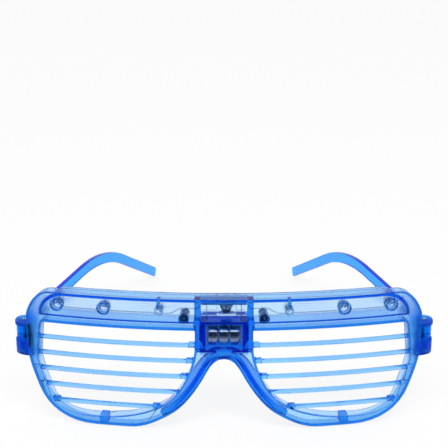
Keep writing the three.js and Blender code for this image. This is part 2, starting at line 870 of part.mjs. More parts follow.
// Push switch behind the middle lamp, the plunger in it, and the cap that shows at the back
const switchBlock = block(
  middleAcross - switchHalfWidth,
  middleAcross + switchHalfWidth,
  switchFront,
  switchRear,
  buttonHeight - switchHalfHeight,
  buttonHeight + switchHalfHeight,
);
const plungerFront = plungerRear - plungerLength;
const plungerWell = rod(
  plungerRadius + fitGap,
  middleAcross,
  buttonHeight,
  switchFront + switchFloor,
  switchRear + overrun,
  lampSides,
);
addPiece("switch_body", geometryOf(cutBy(solid(switchBlock), [plungerWell])), blackPlastic);
addPiece(
  "switch_plunger",
  rod(plungerRadius, middleAcross, buttonHeight, plungerFront, plungerRear, lampSides),
  darkSteel,
);
const cap = [
  rod(buttonFlangeRadius, middleAcross, buttonHeight, buttonFront, buttonFlangeRear, lampSides * 2),
  rod(buttonRadius, middleAcross, buttonHeight, buttonFront, buttonRear, lampSides * 2),
];
addPiece("push_button", geometryOf(joined(cap)), deepBlue);

// Cells: a can with a smaller raised cap on its right end
function cell() {
  const half = cellLength / 2;
  const outline = [
    [0, -half],
    [cellRadius - cellShoulder, -half],
    [cellRadius, -half + cellShoulder],
    [cellRadius, half - cellCapHeight - cellShoulder],
    [cellRadius - cellShoulder, half - cellCapHeight],
    [cellCapRadius, half - cellCapHeight],
    [cellCapRadius, half],
    [0, half],
  ].map(([radius, along]) => new THREE.Vector2(radius, along));
  return new THREE.LatheGeometry(outline, lampSides * 2).rotateZ(-Math.PI / 2);
}

for (let k = 0; k < cellCount; k += 1) {
  const across = (k - (cellCount - 1) / 2) * cellPitch;
  addPiece(`cell_${k + 1}`, cell(), steel).position.set(across, cellDepth, cellHeight);
}

// Contacts: bowed strips between the ends of the row and the walls of the box
function contact() {
  const wallSide = boxInnerHalf - fitGap;
  const half = cellRadius - fitGap;
  const outline = new THREE.Shape();
  outline.moveTo(wallSide, cellHeight - half);
  outline.lineTo(wallSide, cellHeight + half);
  outline.lineTo(wallSide - contactThickness, cellHeight + half);
  outline.quadraticCurveTo(
    wallSide - contactThickness - contactSpring,
    cellHeight,
    wallSide - contactThickness,
    cellHeight - half,
  );
  const shape = new THREE.Shape(outline.getPoints(pointsPerCurve).slice(0, -1));
  return slab(shape, cellDepth - contactWidth / 2, cellDepth + contactWidth / 2);
}

addPiece("battery_contact_right", contact(), steel);
addPiece("battery_contact_left", mirrored(contact()), steel);

function batteryWire() {
  const start = cellHeight + cellRadius;
  return wire(
    [start, channelFloor, boardBottom - fitGap].map(
      (height) => new THREE.Vector3(batteryWireAcross, batteryWireDepth, height),
    ),
    wireStepsPerStop,
  );
}

addPiece("battery_wire_right", batteryWire(), copper);
addPiece("battery_wire_left", mirrored(batteryWire()), copper);

// Door of the battery box: a plate with two forked arms that straddle the nubs on the box
function batteryDoor() {
  const plate = slab(
    roundedRectangle(boxOuterHalf + fitGap + doorArmThickness, boxBottom, channelFloor, boxCorner),
    doorFront,
    doorRear,
  );
  const arms = onBothSides([
    block(
      boxOuterHalf + fitGap,
      boxOuterHalf + fitGap + doorArmThickness,
      boxDepth - doorArmReach,
      doorRear - doorThickness / 2,
      cellHeight - doorArmHeight / 2,
      cellHeight + doorArmHeight / 2,
    ),
  ]);
  const slots = onBothSides([
    block(
      boxOuterHalf,
      boxOuterHalf + fitGap + doorArmThickness + overrun,
      boxDepth - doorArmReach - overrun,
      nubDepth + nubRadius + fitGap,
      cellHeight - nubRadius - fitGap,
      cellHeight + nubRadius + fitGap,
    ),
  ]);
  return geometryOf(cutBy(joined([plate, ...arms]), slots));
}

addPiece("battery_door", batteryDoor(), clearBlue);

// Cover screws: shank in the boss, round head behind the cover
function coverScrew() {
  const headFront = browDepth + fitGap;
  const outline = [
    [0, skinThickness + fitGap],
    [screwRadius / 2, skinThickness + fitGap],
    [screwRadius, skinThickness + fitGap + screwRadius],
    [screwRadius, headFront],
    [screwHeadRadius, headFront],
    [screwHeadRadius, headFront + screwHeadHeight / 2],
    [screwCrownRadius, headFront + screwHeadHeight],
    [0, headFront + screwHeadHeight],
  ].map(([radius, depth]) => new THREE.Vector2(radius, depth));
  return new THREE.LatheGeometry(outline, lampSides);
}

[
  ["right", 1],
  ["left", -1],
].forEach(([side, sign]) => {
  const place = placeOnFront(sign * screwAcross);
  addPiece(`cover_screw_${side}`, coverScrew(), darkSteel, place).position.z = screwHeight;
});

// Temples: where a distance along the arm comes to, as far as it is bent down
function templePoint(distance, bendAngle) {
  const turned = THREE.MathUtils.clamp((distance - templeStraight) / templeBendRadius, 0, bendAngle);
  const beyond = Math.max(0, distance - templeStraight - templeBendRadius * bendAngle);
  const straight = Math.min(distance, templeStraight);
  const along = straight + templeBendRadius * Math.sin(turned) + beyond * Math.cos(turned);
  const drop = templeBendRadius * (1 - Math.cos(turned)) + beyond * Math.sin(turned);
  const share = distance / templeLength;
  const half = THREE.MathUtils.lerp(templeHeightAtHinge, templeHeightAtTip, share) / 2;
  const centre = new THREE.Vector2(along, templeCentreHeight - drop);
  const up = new THREE.Vector2(Math.sin(turned), Math.cos(turned));
  return { upper: centre.clone().addScaledVector(up, half), lower: centre.addScaledVector(up, -half) };
}

function templeOutline(bendAngle) {
  const distances = [templeNeckLength];
  for (let step = 0; step <= templeBendSteps; step += 1) {
    distances.push(templeStraight + (step / templeBendSteps) * templeBendRadius * bendAngle);
  }
  distances.push(templeLength - templeTipCorner);
  const points = distances.map((distance) => templePoint(distance, bendAngle));
  const tip = templePoint(templeLength, bendAngle);
  const inward = tip.upper.clone().sub(tip.lower).setLength(templeTipCorner);
  const lowerTurn = tip.lower.clone().add(inward);
  const upperTurn = tip.upper.clone().sub(inward);
  const neckStart = hingeRadius + fitGap;
  const shape = new THREE.Shape();
  shape.moveTo(0, knuckleBottom);
  shape.lineTo(neckStart, knuckleBottom);
  const neckEnd = points[0].lower;
  shape.quadraticCurveTo(templeNeckLength / 2, neckEnd.y, neckEnd.x, neckEnd.y);
  points.slice(1).forEach(({ lower }) => shape.lineTo(lower.x, lower.y));
  shape.quadraticCurveTo(tip.lower.x, tip.lower.y, lowerTurn.x, lowerTurn.y);
  shape.lineTo(upperTurn.x, upperTurn.y);
  const lastUpper = points.at(-1).upper;
  shape.quadraticCurveTo(tip.upper.x, tip.upper.y, lastUpper.x, lastUpper.y);
  points.slice(0, -1).reverse().forEach(({ upper }) => shape.lineTo(upper.x, upper.y));
  shape.lineTo(neckStart, hingeTopHeight);
  shape.lineTo(neckStart, knuckleTop);
  shape.lineTo(0, knuckleTop);
  return shape.getPoints(templeCornerSteps);
}

// The bend is as steep as lets the tip stand on the same surface as the rims
let templeBend = 0;
let steepest = Math.PI / 2;
for (let tries = 0; tries < bendTries; tries += 1) {
  const middle = (templeBend + steepest) / 2;
  const foot = Math.min(...templeOutline(middle).map((point) => point.y));
  if (foot > 0) templeBend = middle;
  else steepest = middle;
}

function temple() {
  const outline = new THREE.Shape(templeOutline(templeBend));
  const arm = lengthwise(outline, -templeThickness / 2, templeThickness / 2);
  const knuckle = post(hingeRadius, knuckleBottom, knuckleTop, lampSides * 2);
  const bore = post(pinBoreRadius, knuckleBottom - overrun, knuckleTop + overrun, lampSides);
  return geometryOf(cutBy(joined([arm, knuckle]), [bore]));
}

function hingePin() {
  return post(pinRadius, hingeBottomHeight + fitGap, hingeTopHeight - fitGap, lampSides);
}

[
  ["right", 1],
  ["left", -1],
].forEach(([side, sign]) => {
  const hinge = new THREE.Group();
  hinge.position.set(sign * hingeAxis.x, hingeAxis.y, 0);
  hinge.rotation.z = sign * THREE.MathUtils.degToRad(templeInwardAngle);
  glasses.add(hinge);
  addPiece(`temple_${side}`, sign > 0 ? temple() : mirrored(temple()), clearBlue, hinge);
  addPiece(`hinge_pin_${side}`, hingePin(), steel, hinge);
});

// The origin is the middle of the space that the open glasses stand in, on the surface below
const reach = new THREE.Box3().setFromObject(glasses, true);
glasses.position.y = -(reach.min.y + reach.max.y) / 2;

export default glasses;
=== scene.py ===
import math

import bmesh
import bpy
from mathutils import Matrix, Vector


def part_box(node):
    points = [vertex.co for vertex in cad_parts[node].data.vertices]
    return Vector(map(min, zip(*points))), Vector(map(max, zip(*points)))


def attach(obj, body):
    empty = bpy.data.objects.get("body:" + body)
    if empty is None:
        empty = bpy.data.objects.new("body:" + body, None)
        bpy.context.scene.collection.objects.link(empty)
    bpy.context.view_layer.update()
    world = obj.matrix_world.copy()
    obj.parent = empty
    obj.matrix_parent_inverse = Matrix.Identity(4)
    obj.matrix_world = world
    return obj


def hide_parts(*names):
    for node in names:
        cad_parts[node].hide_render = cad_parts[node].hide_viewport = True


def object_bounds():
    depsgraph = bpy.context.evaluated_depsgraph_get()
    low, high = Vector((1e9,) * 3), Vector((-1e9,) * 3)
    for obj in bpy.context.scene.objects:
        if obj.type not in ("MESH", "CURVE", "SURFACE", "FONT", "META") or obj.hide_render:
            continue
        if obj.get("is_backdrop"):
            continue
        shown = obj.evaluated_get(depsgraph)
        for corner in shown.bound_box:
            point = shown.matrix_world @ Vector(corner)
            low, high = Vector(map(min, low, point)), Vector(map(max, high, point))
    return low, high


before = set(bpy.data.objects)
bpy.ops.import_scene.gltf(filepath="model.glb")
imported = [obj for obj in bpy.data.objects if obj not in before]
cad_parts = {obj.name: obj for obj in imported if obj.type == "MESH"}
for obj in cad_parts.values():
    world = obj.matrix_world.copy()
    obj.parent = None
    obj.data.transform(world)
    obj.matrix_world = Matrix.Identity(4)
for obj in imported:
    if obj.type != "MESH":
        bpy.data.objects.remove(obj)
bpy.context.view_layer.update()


# ---- Camera
# The glasses stand open on a table, and are looked at from straight in front and a little
# above, through a long lens. They fill the lower half of a square picture.
scene = bpy.context.scene
mm = 0.001
front_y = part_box("front_frame")[0].y
camera_distance = 407.8 * mm
camera_height = 220.6 * mm
camera_tilt = 19.29
film_width = 36
lens_length = 102.9

camera_data = bpy.data.cameras.new("camera")
camera_data.sensor_width = film_width
camera_data.lens = lens_length
camera = bpy.data.objects.new("camera", camera_data)
scene.collection.objects.link(camera)
camera.location = (0, front_y - camera_distance, camera_height)
camera.rotation_euler = (math.radians(90 - camera_tilt), 0, 0)
scene.camera = camera


# ---- Front moulding
# One piece of clear blue polystyrene: both rims with their slats, the hollow brow, the box
# for the cells, the nose flange and the ears of the hinges. It is glossy where the mould is
# polished, hazier at the ends of the brow and frosted beside the hinges.
class Level:
    """A number that varies over a surface. Reckoning with it adds Math nodes to its recipe."""

    def __init__(self, recipe, socket):
        self.recipe = recipe
        self.socket = socket

    def __add__(self, other):
        return self.recipe.reckoned("ADD", self, other)

    def __sub__(self, other):
        return self.recipe.reckoned("SUBTRACT", self, other)

    def __rsub__(self, other):
        return self.recipe.reckoned("SUBTRACT", other, self)

    def __mul__(self, other):
        return self.recipe.reckoned("MULTIPLY", self, other)

    def __abs__(self):
        return self.recipe.reckoned("ABSOLUTE", self)

    __radd__ = __add__
    __rmul__ = __mul__


class Recipe:
    """The nodes that make up a finish, or the light of the room."""

    def __init__(self, tree):
        self.tree = tree

    def node(self, kind, settings=None, inputs=None):
        """Adds a node, sets it up, and gives back its outputs by name."""
        made = self.tree.nodes.new(kind)
        for key, value in (settings or {}).items():
            if key == "stops":
                set_stops(made.color_ramp, value)
            else:
                setattr(made, key, value)
        for key, value in (inputs or {}).items():
            self.feed(made.inputs[key], value)
        return lambda name: Level(self, made.outputs[name])

    def feed(self, socket, value):
        """Links what varies, and sets what doesn't."""
        if isinstance(value, Level):
            self.tree.links.new(value.socket, socket)
        else:
            socket.default_value = value

    def reckoned(self, operation, *values):
        settings = {"operation": operation}
        return self.node("ShaderNodeMath", settings, dict(enumerate(values)))("Value")

    def split(self, place):
        """The X, Y and Z of a place or a direction."""
        return self.node("ShaderNodeSeparateXYZ", {}, {0: place})

    def step(self, value, start, end, low=0, high=1):
        """Goes softly from low, where value is at start, to high, where it is at end."""
        inputs = {"Value": value, "From Min": start, "From Max": end, "To Min": low, "To Max": high}
        settings = {"interpolation_type": "SMOOTHSTEP"}
        return self.node("ShaderNodeMapRange", settings, inputs)("Result")


class Finish(Recipe):
    """What a piece is made of. Values that are the same all over go straight to the shader."""

    def __init__(self, name, **values):
        self.material = bpy.data.materials.new(name)
        self.material.use_nodes = True
        super().__init__(self.material.node_tree)
        self.shader = self.tree.nodes["Principled BSDF"]
        self.place = self.node("ShaderNodeTexCoord")("Object")
        for key, value in values.items():
            label = key.replace("_", " ").title().replace("Ior", "IOR")
            self.shader.inputs[label].default_value = value

    def varies(self, name, value):
        self.feed(self.shader.inputs[name], value)

    def stretched(self, across, along, up):
        """The surface's place, with its pattern drawn out or packed along X, Y and Z."""
        inputs = {"Vector": self.place, "Scale": (across, along, up)}
        return self.node("ShaderNodeMapping", {"vector_type": "POINT"}, inputs)("Vector")

    def noise(self, scale, detail=3.0, place=None):
        inputs = {"Vector": place or self.place, "Scale": scale, "Detail": detail}
        return self.node("ShaderNodeTexNoise", {}, inputs)("Fac")

    def spots(self, scale, place=None):
        """How far each point is from the middle of the nearest spot."""
        inputs = {"Vector": place or self.place, "Scale": scale}
        return self.node("ShaderNodeTexVoronoi", {"feature": "F1"}, inputs)("Distance")

    def ramp(self, level, *stops):
        return self.node("ShaderNodeValToRGB", {"stops": stops}, {"Fac": level})("Color")

    def mixed(self, amount, first, second):
        """Two colours mixed. Sockets 6 and 7 are the ones that take a colour."""
        inputs = {0: amount, 6: first, 7: second}
        return self.node("ShaderNodeMix", {"data_type": "RGBA"}, inputs)("Result")

    def grained(self, grain, darker, lighter, dulled, polish):
        """Colour follows the grain from one stop to the other, and so does the roughness."""
        self.varies("Base Color", self.ramp(grain, darker, lighter))
        self.varies("Roughness", grain * dulled + polish)

    def bumped(self, height, strength, distance):
        inputs = {"Height": height, "Strength": strength, "Distance": distance}
        self.varies("Normal", self.node("ShaderNodeBump", {}, inputs)("Normal"))

    def soaks(self, colour, density):
        """Light that passes through the thickness takes on this colour."""
        inputs = {"Color": colour, "Density": density}
        depth = self.node("ShaderNodeVolumeAbsorption", {}, inputs)("Volume")
        self.feed(self.tree.nodes["Material Output"].inputs["Volume"], depth)


def set_stops(ramp, stops):
    """stops are (place, grey or colour) from left to right."""
    while len(ramp.elements) < len(stops):
        ramp.elements.new(1)
    for element, (place, colour) in zip(ramp.elements, stops):
        element.position = place
        element.color = (*colour, 1) if isinstance(colour, tuple) else (colour, colour, colour, 1)


edge_gleam = (0.1, 0.35, 0.8, 1)
smear_haze = 0.05
smear_height = 0.2
least_haze = 0.02
ripple_strength = 0.16
ripple_height = 0.2 * mm


def clear_plastic(name, soaked, density, haze, ior=1.42, tint=(1, 1, 1, 1)):
    """Clear moulded plastic, with long streaks where it flowed and fine smears over them."""
    made = Finish(
        name, base_color=tint, transmission_weight=1, ior=ior, specular_tint=edge_gleam
    )
    flow = made.noise(26, 4, made.stretched(1, 1, 5))
    smears = made.noise(110, 5)
    made.haze = flow * haze + smears * smear_haze + least_haze
    made.varies("Roughness", made.haze)
    made.bumped(flow + smears * smear_height, ripple_strength, ripple_height)
    made.soaks(soaked, density)
    return made


clear_blue = clear_plastic("clear_blue_plastic", (0.03, 0.66, 0.965, 1), 850, 0.12)
spot = clear_blue.split(clear_blue.place)
off_centre = abs(spot("X"))
height = spot("Z")
fade = clear_blue.step

# The ends of the brow are haziest above the hinges. The rims are frosted beside them, and tinted
# deeper blue there as painted shade.
end_haze = fade(off_centre, 60 * mm, 66 * mm) * fade(height, 33 * mm, 38 * mm, 0.14, 0.32)
hinge_frost = 0.3
# Painted shade: the rims beside the hinges take this deeper blue tint.
hinge_shade_tint = (0.25, 0.62, 1.0, 1)
hinge_frost_and_shade = fade(off_centre, 64.5 * mm, 67 * mm)
hinge_frost_and_shade = hinge_frost_and_shade * fade(height, 22 * mm, 27 * mm) * fade(height, 43 * mm, 39 * mm)
clear_blue.varies("Roughness", clear_blue.haze + end_haze + hinge_frost_and_shade * hinge_frost)

# The walls of the box for the cells are tinted deeper as painted shade over the cells seen
# through them, and its roof and floor deeper still, as painted shade above and under them.
cells_low, cells_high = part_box("cell_1")
box_half = 8.3 * mm
box_roof = cells_high.z + 2.4 * mm
box_shade_tint = (0.76, 0.68, 0.79, 1)
box_floor_shade_tint = (0.03, 0.28, 0.95, 1)
box_roof_shade_tint = (0.2, 0.32, 0.7, 1)
box_shade_mask = fade(off_centre, box_half + 0.3 * mm, box_half)
box_shade_mask = box_shade_mask * fade(height, cells_low.z - 2.5 * mm, cells_low.z - 1.5 * mm)
box_shade_mask = box_shade_mask * fade(height, box_roof + 0.4 * mm, box_roof + 0.1 * mm)
behind_skin = fade(spot("Y"), front_y + 1 * mm, front_y + 1.4 * mm)
box_floor_shade_mask = box_shade_mask * behind_skin
box_floor_shade_mask = box_floor_shade_mask * fade(height, cells_low.z + 0.1 * mm, cells_low.z - 0.1 * mm)
box_roof_shade_mask = box_shade_mask * behind_skin
box_roof_shade_mask = box_roof_shade_mask * fade(height, cells_high.z + 1 * mm, cells_high.z + 1.4 * mm)

cloudy = clear_blue.noise(40, 3)
tint = clear_blue.ramp(cloudy, (0.35, (0.95, 0.84, 0.96)), (0.65, (1, 0.93, 0.99)))
# Painted shade: the cloudy tint is mixed to deeper blues in the box for the cells, its floor and
# roof, and beside the hinges.
for where, painted_shade_colour in (
    (box_shade_mask, box_shade_tint),
    (box_floor_shade_mask, box_floor_shade_tint),
    (box_roof_shade_mask, box_roof_shade_tint),
    (hinge_frost_and_shade, hinge_shade_tint),
):
    tint = clear_blue.mixed(where, tint, painted_shade_colour)
clear_blue.varies("Base Color", tint)


def welded(piece):
    """Joins the corners that meet, so that the faces of a node form one skin."""
    weld = piece.modifiers.new("weld", "WELD")
    weld.merge_threshold = 0.001 * mm


def dressed(piece, finish):
    piece.data.materials.clear()
    piece.data.materials.append(finish.material)


flat_within = 0.15


def softened(node, finish, edge, angle=28):
    """A moulded node: its edges rounded a little, as no mould is perfectly sharp."""
    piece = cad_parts[node]
    welded(piece)
    flat = piece.modifiers.new("flat", "DECIMATE")
    flat.decimate_type = "DISSOLVE"
    flat.angle_limit = math.radians(flat_within)
    rounded = piece.modifiers.new("rounded", "BEVEL")
    rounded.width = edge
    rounded.segments = 2
    rounded.limit_method = "ANGLE"
    rounded.angle_limit = math.radians(angle)
    rounded.use_clamp_overlap = False
    piece.data.shade_smooth()
    shading = piece.modifiers.new("shading", "WEIGHTED_NORMAL")
    shading.mode = "FACE_AREA"
    shading.weight = 100
    dressed(piece, finish)


softened("front_frame", clear_blue, 0.15 * mm)


# ---- Rear cover
# A strip of nearly colourless plastic that closes the hollow brow from behind. Fine ribs run
# along it, and a hump holds the button. It is pushed in, and held by the two screws.
cover_clear = clear_plastic("cover_plastic", (0.5, 0.75, 0.95, 1), 60, 0.22, ior=1.32)
rib_scale = 420
rib_wander = 0.6
ribs = cover_clear.node(
    "ShaderNodeTexWave",
    {"wave_type": "BANDS", "bands_direction": "Z", "wave_profile": "SIN"},
    {"Vector": cover_clear.place, "Scale": rib_scale, "Distortion": rib_wander},
)("Fac")
cover_clear.bumped(ribs, strength=0.35, distance=0.12 * mm)
softened("rear_cover", cover_clear, 0.12 * mm)


# ---- Temples
# Flat arms of the same plastic, bent down behind the ear and cut square at the end. Each is
# one moulding that turns on a steel pin. Their thin top and bottom edges are painted a deeper
# blue, as painted shade.
arm_blue = clear_plastic("arm_plastic", (0.02, 0.78, 0.985, 1), 1740, 0.10, ior=1.2)
edge_shade_tint = (0.02, 0.30, 0.80, 1)
facing = arm_blue.split(arm_blue.node("ShaderNodeNewGeometry")("Normal"))
# Painted shade: faces that look up or down, the thin edges, are mixed to a deeper blue.
edge_shade_mask = arm_blue.step(abs(facing("Z")), 0.25, 0.7)
arm_cloud = arm_blue.noise(60, 4, arm_blue.stretched(1, 0.2, 1))
arm_tint = arm_blue.ramp(arm_cloud, (0.3, (0.34, 0.95, 0.90)), (0.7, (0.48, 1.0, 0.95)))
arm_blue.varies("Base Color", arm_blue.mixed(edge_shade_mask, arm_tint, edge_shade_tint))
for side in ("right", "left"):
    softened(f"temple_{side}", arm_blue, 0.3 * mm, 40)


# ---- Battery door
# A clip-on plate of deeper blue plastic that closes the battery box from behind. Its two
# forked arms hold on nubs at the sides of the box, and it slides straight off.
door_tint = (0.2, 0.5, 0.94, 1)
door_blue = clear_plastic("door_plastic", (0.02, 0.6, 0.92, 1), 2400, 0.12, tint=door_tint)
softened("battery_door", door_blue, 0.2 * mm)


# ---- Hinge pins
# Plain steel pins with fine scratches from drawing. They are pressed through the ears of the
# front, and the knuckle of the arm turns on them.
steel = Finish("pin_steel", metallic=1)
scratches = steel.noise(1500, 3, steel.stretched(1, 1, 0.1))
steel.grained(scratches, (0.2, (0.40, 0.41, 0.44)), (0.8, (0.66, 0.67, 0.70)), 0.25, 0.2)
for side in ("right", "left"):
    softened(f"hinge_pin_{side}", steel, 0.12 * mm, 50)


# ---- Push button
# A deep blue cap of solid plastic that stands out of the hump at the back. It slides in the
# cover, and is pressed to light the lamps.
cap_blue = Finish("button_plastic")
moulded = cap_blue.noise(500, 4)
cap_blue.grained(moulded, (0.3, (0.010, 0.10, 0.62)), (0.7, (0.016, 0.14, 0.74)), 0.2, 0.22)
cap_blue.bumped(moulded, strength=0.2, distance=0.05 * mm)
softened("push_button", cap_blue, 0.25 * mm)


# ---- Switch
# A small black push switch with a steel plunger, behind the middle lamp. It is soldered to
# the board, and the button's cap sits on the plunger.
black = Finish("switch_plastic")
black.grained(black.noise(900, 4), (0.3, 0.012), (0.7, 0.03), 0.3, 0.35)
softened("switch_body", black, 0.12 * mm)
softened("switch_plunger", steel, 0.1 * mm, 50)


# ---- Circuit board
# A little board with a blue mask, flat under the roof of the brow. Small tinned spots are
# scattered over it, as where the lamps and the wires are soldered.
board = Finish("board_mask")
weave = board.noise(700, 3)
mask_blue = board.ramp(weave, (0.3, (0.010, 0.44, 0.92)), (0.7, (0.020, 0.62, 1.0)))
tin = (0.62, 0.64, 0.68, 1)
pad_size = 0.22
pads = board.reckoned("LESS_THAN", board.spots(520, board.stretched(1, 1, 0)), pad_size)
board.varies("Base Color", board.mixed(pads, mask_blue, tin))
board.varies("Metallic", pads)
board.varies("Roughness", weave * 0.2 + 0.28)
softened("circuit_board", board, 0.08 * mm)


# ---- Wires
# Tinned wires along the brow, soldered to the leads of the lamps and to the board, and two
# short ones up from the contacts. Their finish lets light past, so that they look fine.
tinned_wire = Finish("tinned_wire", metallic=0.3, transmission_weight=0.85, ior=1.15)
drawn = tinned_wire.noise(1200, 3)
tinned_wire.grained(drawn, (0.3, (0.74, 0.80, 0.90)), (0.7, (0.90, 0.94, 1.0)), 0.25, 0.25)
for side in ("right", "left"):
    for wire in (f"led_wire_positive_{side}", f"led_wire_negative_{side}", f"battery_wire_{side}"):
        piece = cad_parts[wire]
        welded(piece)
        rounded = piece.modifiers.new("rounded", "SUBSURF")
        rounded.levels = rounded.render_levels = 1
        piece.data.shade_smooth()
        dressed(piece, tinned_wire)


# ---- Battery contacts
# Bowed strips of sprung steel at the two ends of the row of cells. Each stands in the box
# and presses on the cells, and a short wire joins it to the board.
for side in ("right", "left"):
    softened(f"battery_contact_{side}", steel, 0.06 * mm)


# ---- Lamps
# Seven clear 3 mm lamps look out through the front from their sockets. Each is resin cast
# round two flat leads, with a dome in front and a collar behind.
wrap_radius = 255 * mm
lamp_spots = (-59.8, -42.6, -22.9, 0.8, 22.9, 42.6, 59.8)
middle_lamp = 3
lamp_sides = 32
lamp_radius = 1.5 * mm
lamp_front = 1.5 * mm
lamp_collar_radius = 1.9 * mm
lamp_collar_front = lamp_front + 3.0 * mm
lamp_rear = lamp_collar_front + 0.6 * mm
collar_edge = 0.08 * mm
lead_half = 0.2 * mm
lead_gap = 0.1 * mm
lead_margin = 0.1 * mm
blade_width = 0.8 * mm
left_blade_top = lamp_front + 1.5 * mm
right_blade_top = lamp_front + 1.1 * mm
lead_spacing = 1.27 * mm
tail_start = 0.6 * mm
tail_end = 1.9 * mm

resin = Finish("lamp_resin", base_color=(0.97, 0.98, 1, 1), transmission_weight=1, ior=1.38)
resin.varies("Roughness", resin.noise(300, 2) * 0.06 + 0.01)
resin.bumped(resin.spots(900), strength=0.7, distance=0.4 * mm)
lead_metal = Finish("lamp_lead_frame", metallic=1)
plating = lead_metal.noise(900, 4)
lead_metal.grained(plating, (0.3, (0.30, 0.36, 0.50)), (0.7, (0.62, 0.70, 0.82)), 0.2, 0.22)


def round_front(across, height):
    """Where a point of the flat front comes to round its bend, and which way it faces."""
    angle = across / wrap_radius
    place = (
        wrap_radius * math.sin(angle),
        front_y + wrap_radius - wrap_radius * math.cos(angle),
        height,
    )
    return Matrix.Translation(place) @ Matrix.Rotation(angle, 4, "Z")


def quarter(middle, reach, steps, start=0):
    """A quarter turn of an outline, from start degrees after its frontmost point."""
    turns = [math.radians(start + 90 * step / steps) for step in range(steps + 1)]
    return [
        (middle[0] + reach[0] * math.sin(turn), middle[1] - reach[1] * math.cos(turn))
        for turn in turns
    ]


def meshed(name, shape, sharp=40):
    mesh = bpy.data.meshes.new(name)
    for face in shape.faces:
        face.smooth = True
    for edge in shape.edges:
        edge.smooth = edge.calc_face_angle(0) < math.radians(sharp)
    shape.to_mesh(mesh)
    shape.free()
    return mesh


def spun(name, outline, sides, place):
    """A turned form: outline is (radius, depth) from front to back, round the Y axis."""
    shape = bmesh.new()
    rings = []
    turns = [2 * math.pi * k / sides for k in range(sides)]
    for radius, depth in outline:
        if radius == 0:
            rings.append([shape.verts.new((0, depth, 0))])
            continue
        rings.append(
            [shape.verts.new((radius * math.sin(t), depth, radius * math.cos(t))) for t in turns]
        )
    for ring, after in zip(rings, rings[1:]):
        for k in range(sides):
            corners = [ring[k % len(ring)], ring[(k + 1) % len(ring)]]
            corners += [after[(k + 1) % len(after)], after[k % len(after)]]
            shape.faces.new(dict.fromkeys(corners))
    bmesh.ops.recalc_face_normals(shape, faces=shape.faces)
    bmesh.ops.transform(shape, matrix=place, verts=shape.verts)
    return meshed(name, shape)


def box_at(shape, low, high):
    """Adds a box to shape. Its corners may be given in either order."""
    size = Vector([abs(far - near) for near, far in zip(low, high)])
    middle = (Vector(high) + Vector(low)) / 2
    made = bmesh.ops.create_cube(shape, size=1)["verts"]
    bmesh.ops.transform(shape, matrix=Matrix.LocRotScale(middle, None, size), verts=made)


def lead_frame(name, place, is_middle):
    """Two flat leads. The right blade reaches further forward, and the tails of the middle
    lamp both go up to the board."""
    shape = bmesh.new()
    tail_rear = lamp_rear + 2 * lead_half
    for side, blade_top in ((-1, left_blade_top), (1, right_blade_top)):
        box_at(
            shape,
            (side * lead_gap, blade_top, -lead_half),
            (side * blade_width, lamp_rear - lead_margin, lead_half),
        )
        if is_middle:
            root = side * lead_spacing
            low = (root - lead_half, lamp_rear, -lead_half)
            high = (root + lead_half, tail_rear, tail_end)
        else:
            low = (-lead_half, lamp_rear, side * tail_start)
            high = (lead_half, tail_rear, side * tail_end)
        box_at(shape, low, high)
    bmesh.ops.bevel(shape, geom=shape.edges[:], offset=0.05 * mm, segments=1, affect="EDGES")
    bmesh.ops.transform(shape, matrix=place, verts=shape.verts)
    return meshed(name, shape)


def new_piece(name, mesh, finish, body, slot, *nodes):
    piece = bpy.data.objects.new(name, mesh)
    scene.collection.objects.link(piece)
    mesh.materials.append(finish.material)
    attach(piece, body)
    if nodes:
        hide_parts(*nodes)


lamp_outline = quarter((0, lamp_front + lamp_radius), (lamp_radius, lamp_radius), 10)
lamp_outline += [
    (lamp_radius, lamp_collar_front - 0.1 * mm),
    (lamp_radius + 0.1 * mm, lamp_collar_front),
    (lamp_collar_radius - collar_edge, lamp_collar_front),
    (lamp_collar_radius, lamp_collar_front + collar_edge),
    (lamp_collar_radius, lamp_rear - collar_edge),
    (lamp_collar_radius - collar_edge, lamp_rear),
    (0, lamp_rear),
]
for number, across in enumerate(lamp_spots):
    node = f"led_{number + 1}"
    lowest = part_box(node)[0].z
    place = round_front(across * mm, lowest + lamp_collar_radius)
    body = spun("lamp", lamp_outline, lamp_sides, place)
    new_piece(f"lamp_{number + 1}", body, resin, "front", "lamp_clear", node)
    leads = lead_frame("lamp_leads", place, number == middle_lamp)
    new_piece(f"lamp_leads_{number + 1}", leads, lead_metal, "front", "steel")


# ---- Button cells
# Three pressed steel cans in a row, each with a dark seal round its smaller cap. They are
# bright, and mirror the light from above and the dark room in front.
cell_sides = 48
cap_radius = 3.1 * mm
cap_height = 0.35 * mm
cap_edge = 0.2 * mm
can_fillet = 0.3 * mm
seal_inner = cap_radius + 0.02 * mm
seal_outer = cap_radius + 0.18 * mm

can_metal = Finish("can_steel", metallic=1)
rubbed = can_metal.noise(900, 4, can_metal.stretched(1, 0.15, 0.15))
can_metal.grained(rubbed, (0.25, (0.60, 0.51, 0.45)), (0.75, (0.86, 0.75, 0.67)), 0.14, 0.1)
seal = Finish("cell_seal", base_color=(0.015, 0.016, 0.02, 1))
seal.varies("Roughness", seal.noise(900) * 0.3 + 0.35)

